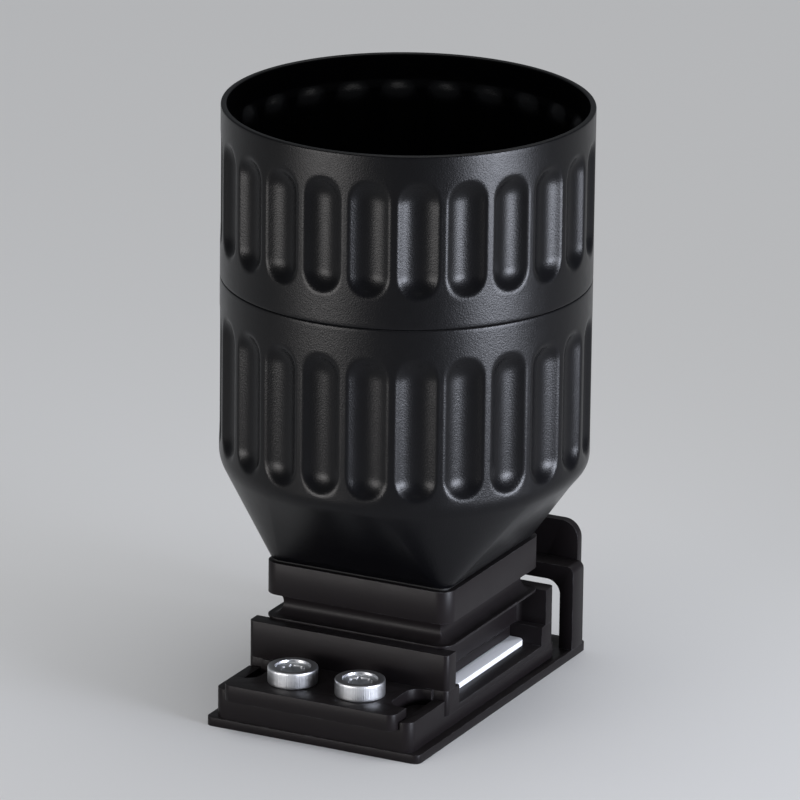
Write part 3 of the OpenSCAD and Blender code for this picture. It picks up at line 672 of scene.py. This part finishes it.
@dataclass(frozen=True)
class Flutes:
    """Round-ended hollows around the hood, cut by a round cutter that stands upright."""

    rim: float
    low: float
    high: float
    count: int = 24
    depth: float = 2.2 * MM
    cutter: float = 8.5 * MM
    soft: float = 0.34 * MM
    crowding: float = 0.6
    halvings: int = 24

    @property
    def pitch(self) -> float:
        """Angle from one flute to the next."""
        return math.tau / self.count

    @property
    def cutter_axis(self) -> float:
        """Distance of the cutter's axis from the hood's axis."""
        return self.rim - self.depth + self.cutter

    @property
    def run(self) -> float:
        """Height over which a flute runs out at its ends."""
        return math.sqrt(self.cutter ** 2 - (self.cutter_axis - self.rim) ** 2)

    @lru_cache(maxsize=None)
    def dent(self, off: float, z: float) -> float:
        """Finds how far the surface lies inside the plain cylinder.

        Args:
            off: Angle from the middle of the nearest flute.
            z: Level of the point.

        Returns:
            The depth of the hollow there, with its edges softened.
        """
        above = max(0.0, z - (self.high - self.run), (self.low + self.run) - z)
        low, high = self.rim - self.depth - self.soft, self.rim
        for _ in range(self.halvings):
            r = (low + high) / 2
            wall = self.rim - r
            hollow = math.hypot(r * math.cos(off) - self.cutter_axis, r * math.sin(off), above) - self.cutter
            overlap = max(self.soft - abs(wall - hollow), 0.0) / self.soft
            if min(wall, hollow) - overlap ** 2 * self.soft / 4 > 0:
                low = r
            else:
                high = r
        return self.rim - low

    def crowd(self, angle: float) -> float:
        """Moves an angle towards the ridge beside it, so that the ridges get more points.

        Args:
            angle: The angle of a point about the hood's axis.

        Returns:
            The moved angle.
        """
        return angle + self.crowding * math.sin(angle * self.count) / self.count

    def press(self, bm: bmesh.types.BMesh) -> None:
        """Presses the flutes into both walls of a turned shell.

        Args:
            bm: The shell's mesh.
        """
        for vert in bm.verts:
            angle = self.crowd(math.atan2(vert.co.y, vert.co.x))
            radius = math.hypot(vert.co.x, vert.co.y)
            if self.low < vert.co.z < self.high:
                off = abs((angle + self.pitch / 2) % self.pitch - self.pitch / 2)
                radius -= self.dent(round(off, 7), round(vert.co.z, 7))
            vert.co.x = radius * math.cos(angle)
            vert.co.y = radius * math.sin(angle)


@dataclass(frozen=True)
class RoundedSquare:
    """A rectangle with round corners, read by angle so that it joins a circle point by point."""

    half_x: float
    half_y: float
    corner: float
    flat: float = math.radians(20)

    def at(self, angle: float) -> tuple[float, float]:
        """Finds the point that belongs to an angle.

        Args:
            angle: The angle about the middle.

        Returns:
            The point's two coordinates.
        """
        turn = angle % math.tau
        quarter = int(turn // (math.pi / 2))
        rest = turn - quarter * math.pi / 2
        long, wide = (self.half_x, self.half_y) if quarter % 2 == 0 else (self.half_y, self.half_x)
        if rest < self.flat:
            point = Vector((long, (wide - self.corner) * rest / self.flat))
        elif rest > math.pi / 2 - self.flat:
            point = Vector(((long - self.corner) * (math.pi / 2 - rest) / self.flat, wide))
        else:
            bend = (rest - self.flat) / (math.pi / 2 - 2 * self.flat) * math.pi / 2
            cos, sin = math.cos(bend), math.sin(bend)
            point = Vector((long - self.corner + self.corner * cos, wide - self.corner + self.corner * sin))
        point.rotate(Matrix.Rotation(quarter * math.pi / 2, 2))
        return point.x, point.y


def open_rings(bm: bmesh.types.BMesh) -> list[Ring]:
    """Finds the open edge rings of a mesh.

    Args:
        bm: The mesh.

    Returns:
        One list of vertices for each ring, sorted by angle about the Z axis.
    """
    todo = {edge for edge in bm.edges if len(edge.link_faces) == 1}
    rings: list[Ring] = []
    while todo:
        edge = todo.pop()
        ring = {edge.verts[0], edge.verts[1]}
        front = list(ring)
        while front:
            vert = front.pop()
            for near in vert.link_edges:
                if near in todo:
                    todo.discard(near)
                    other = near.other_vert(vert)
                    if other not in ring:
                        ring.add(other)
                        front.append(other)
        rings.append(sorted(ring, key=lambda v: math.atan2(v.co.y, v.co.x)))
    return rings


def grow_ring(
    bm: bmesh.types.BMesh,
    ring: Ring,
    place: Callable[[float], tuple[float, float, float]],
    angles: Sequence[float],
) -> Ring:
    """Extrudes an open ring and puts each new point in place.

    Args:
        bm: The mesh.
        ring: The open ring, in order.
        place: Gives the new place for an angle.
        angles: The angle that each of the ring's points keeps.

    Returns:
        The new ring, in the same order.
    """
    edges = [bm.edges.get((a, b)) for a, b in zip(ring, ring[1:] + ring[:1])]
    grown = bmesh.ops.extrude_edge_only(bm, edges=edges)
    fresh = {v for v in grown["geom"] if isinstance(v, bmesh.types.BMVert)}
    new_ring = [next(o for e in v.link_edges if (o := e.other_vert(v)) in fresh) for v in ring]
    for vert, angle in zip(new_ring, angles):
        vert.co = place(angle)
    return new_ring


def close_between(bm: bmesh.types.BMesh, first: Ring, second: Ring) -> None:
    """Bridges two open rings.

    Args:
        bm: The mesh.
        first: One ring, in order.
        second: The other ring, in order.
    """
    edges = [bm.edges.get((a, b)) for ring in (first, second) for a, b in zip(ring, ring[1:] + ring[:1])]
    bmesh.ops.bridge_loops(bm, edges=edges)


@dataclass
class Hood:
    """The light hood: a fluted upper ring pushed onto a fluted shell with a funnel under it."""

    steps_per_flute: int = 18
    rows: float = 0.8 * MM
    wall: float = 1.8 * MM
    mouth_wall: float = 1.6 * MM
    mouth_step: float = 2.0 * MM
    skirt_wall: float = 2.0 * MM
    spigot_clear: float = 0.05 * MM
    throat_low: float = 1.8 * MM
    throat_high: float = 4.5 * MM
    ring_half: float = 0.75 * MM
    groove_soft: float = 0.1 * MM
    rim_soft: float = 0.45 * MM
    seam_soft: float = 0.5 * MM
    mouth_band: float = 7.5 * MM
    seam_band: float = 8.7 * MM
    waist_band: float = 3.4 * MM
    waist_soft: float = 2.2 * MM
    spigot_wall: float = 1.95 * MM
    waist_rows: int = 6
    funnel_rows: int = 10
    foot_soft: float = 0.6 * MM
    tenon_wall: float = 2.0 * MM
    tenon_row: float = 0.4 * MM
    foot_corner: float = 3.8 * MM
    foot_shoulder: float = 2.1 * MM
    gasket_inset: float = 0.8 * MM
    funnel_height: float = 26 * MM

    def __post_init__(self) -> None:
        """Reads the hood's levels from the CAD frame."""
        upper_low, upper_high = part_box("upper_hood")
        lower_low, lower_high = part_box("lower_hood")
        self.radius = upper_high.x
        self.seam, self.rim = upper_low.z, upper_high.z
        self.spigot_top = lower_high.z
        gasket_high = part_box("foot_gasket")[1]
        self.foot = gasket_high.z
        self.tenon_end = lower_low.z
        self.foot_half = (gasket_high.x + self.gasket_inset, gasket_high.y + self.gasket_inset)
        self.tenon_half = (self.foot_half[0] - self.foot_shoulder, self.foot_half[1] - self.foot_shoulder)
        self.tenon_corner = self.foot_corner - self.foot_shoulder / 2
        self.waist = self.foot + self.funnel_height
        self.ring_z = sum(c.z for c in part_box("hood_joint_ring")) / 2

    @property
    def steps(self) -> int:
        """Number of steps around a shell."""
        return self.steps_per_flute * Flutes.count

    def build(self) -> None:
        """Builds both shells and dresses the rubber ring between them."""
        self.build_upper()
        self.build_lower()
        dress_node("hood_joint_ring", BLACK_RUBBER)

    def build_upper(self) -> bpy.types.Object:
        """Builds the upper ring with its even wall.

        Returns:
            The piece.
        """
        flutes = Flutes(self.radius, self.seam + self.seam_band, self.rim - self.mouth_band)
        inner = self.radius - self.skirt_wall
        mouth = self.radius - self.mouth_wall
        outline = softened_outline([
            Corner(inner, (self.seam + self.rim) / 2),
            Corner(inner, self.seam, self.seam_soft / 2),
            Corner(self.radius, self.seam, self.seam_soft),
            Corner(self.radius, self.rim, self.rim_soft),
            Corner(mouth, self.rim, self.rim_soft),
            Corner(mouth, flutes.high + self.rim_soft, self.rim_soft),
            Corner(inner, flutes.high - self.mouth_step, self.rim_soft),
            Corner(inner, (self.seam + self.rim) / 2),
        ])
        bm = bmesh.new()
        turned(bm, finely_cut(outline, self.rows), self.steps)
        flutes.press(bm)
        facing_out(bm)
        return publish(bm, "upper_hood_shell", Body.HOOD_UPPER, MOULDED, ["upper_hood"])

    def build_lower(self) -> bpy.types.Object:
        """Builds the lower shell: spigot, fluted wall, funnel, square foot and tenon.

        Returns:
            The piece.
        """
        flutes = Flutes(self.radius, self.waist + self.waist_band, self.seam - self.seam_band)
        spigot = self.radius - self.skirt_wall - self.spigot_clear
        bore = spigot - self.spigot_wall
        inner = self.radius - self.wall
        groove = spigot - 2 * self.ring_half
        low, high = self.ring_z - self.ring_half, self.ring_z + self.ring_half
        outline = softened_outline([
            Corner(inner, self.waist + self.waist_soft),
            Corner(inner, flutes.high + self.throat_low, 0.8 * MM),
            Corner(bore, flutes.high + self.throat_high, 1.0 * MM),
            Corner(bore, self.spigot_top, 0.4 * MM),
            Corner(spigot, self.spigot_top, 0.5 * MM),
            Corner(spigot, high, self.groove_soft),
            Corner(groove, high, self.groove_soft),
            Corner(groove, low, self.groove_soft),
            Corner(spigot, low, self.groove_soft),
            Corner(spigot, self.seam, self.groove_soft),
            Corner(self.radius, self.seam, self.seam_soft),
            Corner(self.radius, self.waist + self.waist_soft),
        ])
        bm = bmesh.new()
        turned(bm, finely_cut(outline, self.rows), self.steps)
        flutes.press(bm)
        outer, inside = sorted(open_rings(bm), key=lambda ring: -math.hypot(*ring[0].co.xy))
        ends = [
            self._funnel(
                bm, outer, self.radius, RoundedSquare(*self.foot_half, self.foot_corner), self.tenon_half
            ),
            self._funnel(bm, inside, inner, self._inside_of_tenon(), None),
        ]
        close_between(bm, *ends)
        facing_out(bm)
        return publish(bm, "lower_hood_shell", Body.HOOD_LOWER, MOULDED, ["lower_hood"])

    def _inside_of_tenon(self) -> RoundedSquare:
        """Gives the inner outline of the tenon.

        Returns:
            The outline.
        """
        half_x, half_y = (half - self.tenon_wall for half in self.tenon_half)
        return RoundedSquare(half_x, half_y, self.tenon_corner / 2)

    def _funnel(
        self,
        bm: bmesh.types.BMesh,
        ring: Ring,
        radius: float,
        foot: RoundedSquare,
        tenon_half: tuple[float, float] | None,
    ) -> Ring:
        """Grows one wall of the funnel from a round ring down to the end of the tenon.

        Args:
            bm: The shell's mesh.
            ring: The round open ring.
            radius: Its radius.
            foot: The outline of the foot.
            tenon_half: Half sizes of the tenon, or None on the inner wall, which runs straight on.

        Returns:
            The ring at the tenon's end.
        """
        angles = [math.atan2(v.co.y, v.co.x) for v in ring]
        drop = self.waist - self.foot

        def ruled(angle: float, share: float) -> Vector:
            round_point = Vector((radius * math.cos(angle), radius * math.sin(angle), self.waist))
            square_point = Vector((*foot.at(angle), self.foot))
            return round_point.lerp(square_point, share)

        soft_share = self.waist_soft / drop
        bend_top = self.waist + self.waist_soft
        for step in range(1, self.waist_rows + 1):
            t = step / self.waist_rows
            ring = grow_ring(bm, ring, lambda a, t=t: tuple(
                Vector((radius * math.cos(a), radius * math.sin(a), bend_top)) * (1 - t) ** 2
                + ruled(a, 0.0) * (2 * t * (1 - t))
                + ruled(a, soft_share) * t ** 2
            ), angles)
        last_share = 1 - self.foot_soft / drop if tenon_half else 1.0
        for step in range(1, self.funnel_rows + 1):
            share = soft_share + (last_share - soft_share) * step / self.funnel_rows
            ring = grow_ring(bm, ring, lambda a, s=share: tuple(ruled(a, s)), angles)
        if tenon_half is None:
            for level in (self.foot - self.tenon_wall, self.tenon_end):
                ring = grow_ring(bm, ring, lambda a, z=level: (*foot.at(a), z), angles)
            return ring
        inset = self.foot_soft / 2
        tucked = RoundedSquare(foot.half_x - inset, foot.half_y - inset, foot.corner - inset)
        tenon = RoundedSquare(*tenon_half, self.tenon_corner)
        ring = grow_ring(bm, ring, lambda a: (*foot.at(a), self.foot + self.foot_soft / 2), angles)
        ring = grow_ring(bm, ring, lambda a: (*tucked.at(a), self.foot), angles)
        ring = grow_ring(bm, ring, lambda a: (*tenon.at(a), self.foot), angles)
        for level in (self.foot - self.tenon_row, self.tenon_end):
            ring = grow_ring(bm, ring, lambda a, z=level: (*tenon.at(a), z), angles)
        return ring


@dataclass
class ThumbScrew:
    """A captive thumb screw with a knurled head, a dished top and a hexagon socket."""

    side: int
    steps: int = 360
    teeth: int = 90
    tooth_depth: float = 0.06 * MM
    chamfer: float = 0.5 * MM
    rim_soft: float = 0.25 * MM
    dish_radius: float = 4.8 * MM
    dish_taper: float = 0.1 * MM
    dish_depth: float = 0.9 * MM
    socket_radius: float = 3.4 * MM
    socket_depth: float = 2.4 * MM
    socket_bevel: float = 0.35 * MM
    socket_cone: float = 0.6 * MM
    head_cut: float = 0.5 * MM
    shank_radius: float = 2.4 * MM
    thread_pitch: float = 0.8 * MM
    thread_depth: float = 0.3 * MM
    thread_rows: int = 6
    slack: float = 0.01 * MM

    def __post_init__(self) -> None:
        """Reads the screw's place and levels from the CAD frame."""
        self.label = "left" if self.side < 0 else "right"
        self.node = f"thumb_screw_{self.label}"
        low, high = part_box(self.node)
        self.centre = Vector(((low.x + high.x) / 2, (low.y + high.y) / 2, 0.0))
        self.radius = (high.x - low.x) / 2
        self.tip, self.top = low.z, high.z
        self.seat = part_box("carrier")[1].z
        self.thread_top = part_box(f"retainer_clip_{self.label}")[0].z
        self.floor = self.top - self.dish_depth
        self.flat = self.socket_radius * math.cos(math.pi / 6)

    def build(self) -> bpy.types.Object:
        """Builds the screw and dresses its clip.

        Returns:
            The screw's piece.
        """
        bm = bmesh.new()
        turned(bm, self._outline(), self.steps)
        self._shape(bm)
        facing_out(bm)
        bmesh.ops.translate(bm, verts=bm.verts, vec=self.centre)
        body = Body.KNOB_LEFT if self.side < 0 else Body.KNOB_RIGHT
        piece = publish(bm, f"{self.node}_turned", body, knob_finish(self.side, self.centre), [self.node])
        dress_node(f"retainer_clip_{self.label}", BRIGHT_STEEL)
        return piece

    def _outline(self) -> list[tuple[float, float]]:
        """Draws the outline that is turned, from the tip over the head to the socket's floor.

        Returns:
            The outline's points.
        """
        shank = softened_outline([
            Corner(0.0, self.tip),
            Corner(self.shank_radius, self.tip, 0.5 * MM),
            Corner(self.shank_radius, self.thread_top),
        ])
        head = softened_outline([
            Corner(self.shank_radius, self.thread_top),
            Corner(self.shank_radius, self.seat),
            Corner(self.radius, self.seat, self.chamfer),
            Corner(self.radius, self.top, self.chamfer),
            Corner(self.dish_radius, self.top, self.rim_soft),
            Corner(self.dish_radius - self.dish_taper, self.floor, self.rim_soft),
            Corner(self.flat + self.socket_bevel, self.floor),
        ])
        end = self.floor - self.socket_depth
        socket = [
            (self.flat, self.floor - self.socket_bevel),
            (self.flat, end),
            (0.0, end - self.socket_cone),
        ]
        thread_cut = self.thread_pitch / self.thread_rows
        return finely_cut(shank, thread_cut) + finely_cut(head, self.head_cut)[1:] + socket

    def _shape(self, bm: bmesh.types.BMesh) -> None:
        """Presses the knurl, the thread and the socket's six sides into the turned shape.

        Args:
            bm: The turned screw, on the Z axis.
        """
        for vert in bm.verts:
            reach = math.hypot(vert.co.x, vert.co.y)
            if reach < TURNED_MERGE:
                continue
            angle = math.atan2(vert.co.y, vert.co.x)
            new_reach = reach
            on_side = self.seat + self.chamfer / 2 < vert.co.z < self.top - self.chamfer / 2
            if on_side and reach > self.radius - self.chamfer / 4:
                tooth = abs((angle / math.tau * self.teeth) % 1 - 0.5) * 2
                new_reach = reach - self.tooth_depth * tooth
            elif vert.co.z < self.thread_top and abs(reach - self.shank_radius) < self.slack:
                turn = abs((vert.co.z / self.thread_pitch + angle / math.tau) % 1 - 0.5) * 2
                new_reach = reach - self.thread_depth * turn
            elif abs(reach - self.flat) < self.slack and vert.co.z < self.floor - self.socket_bevel / 2:
                new_reach = self.flat / math.cos(angle % (math.pi / 3) - math.pi / 6)
            vert.co.x *= new_reach / reach
            vert.co.y *= new_reach / reach


@dataclass
class Springs:
    """The four coil springs over the pressure plate."""

    outer: float = 2.1 * MM
    wire: float = 0.25 * MM
    turns: float = 4.5
    steps_per_turn: int = 28
    wire_sides: int = 10
    travel: float = 0.4 * MM

    def build(self) -> bpy.types.Object:
        """Winds the springs.

        Returns:
            The piece that holds all four.
        """
        low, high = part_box("pressure_springs")
        axes = [
            (x, y)
            for x in (low.x + self.outer, high.x - self.outer)
            for y in (low.y + self.outer, high.y - self.outer)
        ]
        upright = Matrix.Rotation(math.pi / 2, 4, "X")
        rise = high.z - low.z - 2 * self.wire
        bm = bmesh.new()
        for x, y in axes:
            made = bmesh.ops.create_circle(
                bm, segments=self.wire_sides, radius=self.wire, cap_ends=False,
                matrix=Matrix.Translation((x + self.outer - self.wire, y, low.z + self.wire)) @ upright,
            )
            ring = made["verts"]
            edges = [e for e in bm.edges if e.verts[0] in ring and e.verts[1] in ring]
            steps = round(self.turns * self.steps_per_turn)
            bmesh.ops.spin(
                bm, geom=[*ring, *edges], cent=(x, y, 0), axis=(0, 0, 1), dvec=(0, 0, rise / steps),
                angle=math.tau * self.turns, steps=steps, use_duplicate=False,
            )
        bmesh.ops.holes_fill(bm, edges=[e for e in bm.edges if len(e.link_faces) == 1], sides=self.wire_sides)
        facing_out(bm)
        piece = publish(bm, "pressure_spring_coils", Body.HOLDER, SPRING_STEEL, ["pressure_springs"])
        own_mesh(piece)
        return piece


@dataclass(frozen=True)
class MachinedPart:
    """A milled or moulded piece that keeps its CAD shape, with its edges broken."""

    node: str
    body: Body
    finish: Finish
    edge: float

    def build(self) -> bpy.types.Object:
        """Builds the piece.

        Returns:
            The piece.
        """
        bm = machined_copy(self.node, self.edge)
        return publish(bm, f"{self.node}_part", self.body, self.finish, [self.node])


@dataclass
class SlideHolder:
    """The slide holder: collar, gate, carrier with its tongue, base, rear bracket and their fixings."""

    parts: tuple[MachinedPart, ...] = (
        MachinedPart("collar", Body.HOLDER, ANODISED, 0.30 * MM),
        MachinedPart("gate_block", Body.HOLDER, ANODISED, 0.22 * MM),
        MachinedPart("carrier", Body.HOLDER, ANODISED, 0.22 * MM),
        MachinedPart("foot_gasket", Body.HOLDER, BLACK_RUBBER, 0.12 * MM),
        MachinedPart("pressure_plate", Body.PLATE, ANODISED, 0.15 * MM),
        MachinedPart("base_block", Body.BASE, ANODISED, 0.22 * MM),
        MachinedPart("base_flange", Body.BASE, ANODISED, 0.22 * MM),
        MachinedPart("rear_bracket", Body.BASE, ANODISED, 0.30 * MM),
        MachinedPart("rear_baffle", Body.BASE, ANODISED, 0.25 * MM),
    )
    fixings: tuple[tuple[str, Finish], ...] = (
        ("collar_screws", BLACK_OXIDE), ("gate_screws", BLACK_OXIDE), ("base_screws", BLACK_OXIDE),
        ("baffle_screws", BLACK_OXIDE), ("bracket_screws", BLACK_OXIDE), ("plate_screws", BRIGHT_STEEL),
        ("locating_dowels", BRIGHT_STEEL),
    )

    def build(self) -> None:
        """Builds the holder's pieces and dresses its fixings."""
        for part in self.parts:
            part.build()
        for node, finish in self.fixings:
            dress_node(node, finish)
        Springs().build()
        for side in (-1, 1):
            ThumbScrew(side).build()


@dataclass
class MountedSlide:
    """The slide in the slot: two white halves with a piece of film between them."""

    edge: float = 0.14 * MM

    def build(self) -> None:
        """Builds the halves and dresses the film."""
        for node in ("slide_mount_top", "slide_mount_base"):
            MachinedPart(node, Body.SLIDE, MOUNT_WHITE, self.edge).build()
        dress_node("film_chip", FILM_BASE)


@dataclass(frozen=True)
class Softbox:
    """A soft lamp, placed by its azimuth from the front, its distance from the axis and its level."""

    name: str
    azimuth: float
    distance: float
    level: float
    width: float
    height: float
    radiance: float
    tint: Colour
    beam: float = math.pi

    @property
    def gain(self) -> float:
        """How much brighter the lamp is along its axis than one that shines all round."""
        half = self.beam / 2
        return math.tan(half) / (math.tan(half) - half) if self.beam < math.pi else 1.0

    def hang(self, target: Vector) -> None:
        """Makes the lamp and turns it to the object.

        Args:
            target: The point that it shines at.
        """
        a = math.radians(self.azimuth)
        place = Vector((math.sin(a) * self.distance, -math.cos(a) * self.distance, self.level))
        away = (place - target).normalized()
        data = bpy.data.lights.new(self.name, "AREA")
        data.shape = "RECTANGLE"
        data.size, data.size_y = self.width, self.height
        data.energy = self.radiance * math.pi * self.width * self.height / self.gain
        data.spread = self.beam
        data.color = self.tint
        lamp = bpy.data.objects.new(self.name, data)
        lamp.location = place
        lamp.rotation_mode = "QUATERNION"
        lamp.rotation_quaternion = away.to_track_quat("Z", "Y")
        lamp.visible_camera = False
        bpy.context.scene.collection.objects.link(lamp)


@dataclass
class Studio:
    """The plain pale floor, the soft lamps, the world and the camera."""

    floor_half: float = 14.0
    floor_colour: Colour = (0.80, 0.803, 0.81)
    world_colour: Colour = (0.90, 0.94, 1.0)
    world_strength: float = 0.16
    floor_gap: float = 0.02 * MM
    camera_place: tuple[float, float, float] = (950.17 * MM, -1902.42 * MM, 783.43 * MM)
    camera_roll: float = math.radians(0.7)
    framing: float = 0.215
    sensor: float = 36.0
    lamps: tuple[Softbox, ...] = (
        Softbox("right_softbox", 81.0, 0.48, 0.065, 0.32, 0.12, 59.0, (0.84, 0.88, 1.0), BEAM),
        Softbox("left_softbox", -24.0, 0.48, 0.065, 0.42, 0.12, 16.5, (1.0, 0.97, 0.96), BEAM),
        Softbox("top_softbox", 150.0, 0.30, 2.60, 3.4, 3.4, 1.30, (1.0, 1.0, 1.0)),
    )

    def build(self) -> None:
        """Builds the studio around the object."""
        low, high = CAD_BOX
        centre = (low + high) / 2
        self._floor(low.z)
        self._world()
        for lamp in self.lamps:
            lamp.hang(centre)
        self._camera(centre)
        bpy.context.scene.view_settings.view_transform = "Standard"

    def _floor(self, level: float) -> None:
        """Lays the floor.

        Args:
            level: The level that the object stands on.
        """
        bm = bmesh.new()
        bmesh.ops.create_grid(bm, x_segments=1, y_segments=1, size=self.floor_half)
        bmesh.ops.translate(bm, verts=bm.verts, vec=(0, 0, level - self.floor_gap))
        mesh = bpy.data.meshes.new("studio_floor")
        bm.to_mesh(mesh)
        bm.free()
        made = bpy.data.materials.new("studio_floor")
        made.use_nodes = True
        made.node_tree.nodes.clear()
        nodes = NodeTree(made.node_tree)
        shader = nodes.add("ShaderNodeBsdfPrincipled", {
            "Base Color": (*self.floor_colour, 1.0), "Roughness": 0.8, "Specular IOR Level": 0.2,
        })
        nodes.add("ShaderNodeOutputMaterial", {"Surface": shader.outputs[0]})
        mesh.materials.append(made)
        floor = bpy.data.objects.new("studio_floor", mesh)
        bpy.context.scene.collection.objects.link(floor)

    def _world(self) -> None:
        """Sets the dim even light from all round."""
        world = bpy.data.worlds.new("studio_air")
        world.use_nodes = True
        world.node_tree.nodes.clear()
        nodes = NodeTree(world.node_tree)
        light = nodes.add(
            "ShaderNodeBackground", {"Color": (*self.world_colour, 1.0), "Strength": self.world_strength}
        )
        nodes.add("ShaderNodeOutputWorld", {"Surface": light.outputs[0]})
        bpy.context.scene.world = world

    def _camera(self, centre: Vector) -> None:
        """Puts the camera where the photograph was taken from, with a longer lens.

        Args:
            centre: The middle of the object, which the camera looks at.
        """
        data = bpy.data.cameras.new("studio_camera")
        data.sensor_width = self.sensor
        camera = bpy.data.objects.new("studio_camera", data)
        camera.location = self.camera_place
        away = camera.location - centre
        data.lens = self.sensor * away.length / self.framing
        camera.rotation_mode = "QUATERNION"
        upright = away.to_track_quat("Z", "Y")
        camera.rotation_quaternion = upright @ Matrix.Rotation(self.camera_roll, 3, "Z").to_quaternion()
        data.clip_start, data.clip_end = 0.05, 100.0
        bpy.context.scene.collection.objects.link(camera)
        bpy.context.scene.camera = camera


def main() -> None:
    """Builds the whole scene in order."""
    logging.basicConfig(level=logging.INFO, format="%(name)s: %(message)s")
    Studio().build()
    Hood().build()
    SlideHolder().build()
    MountedSlide().build()


if __name__ == "__main__":
    main()
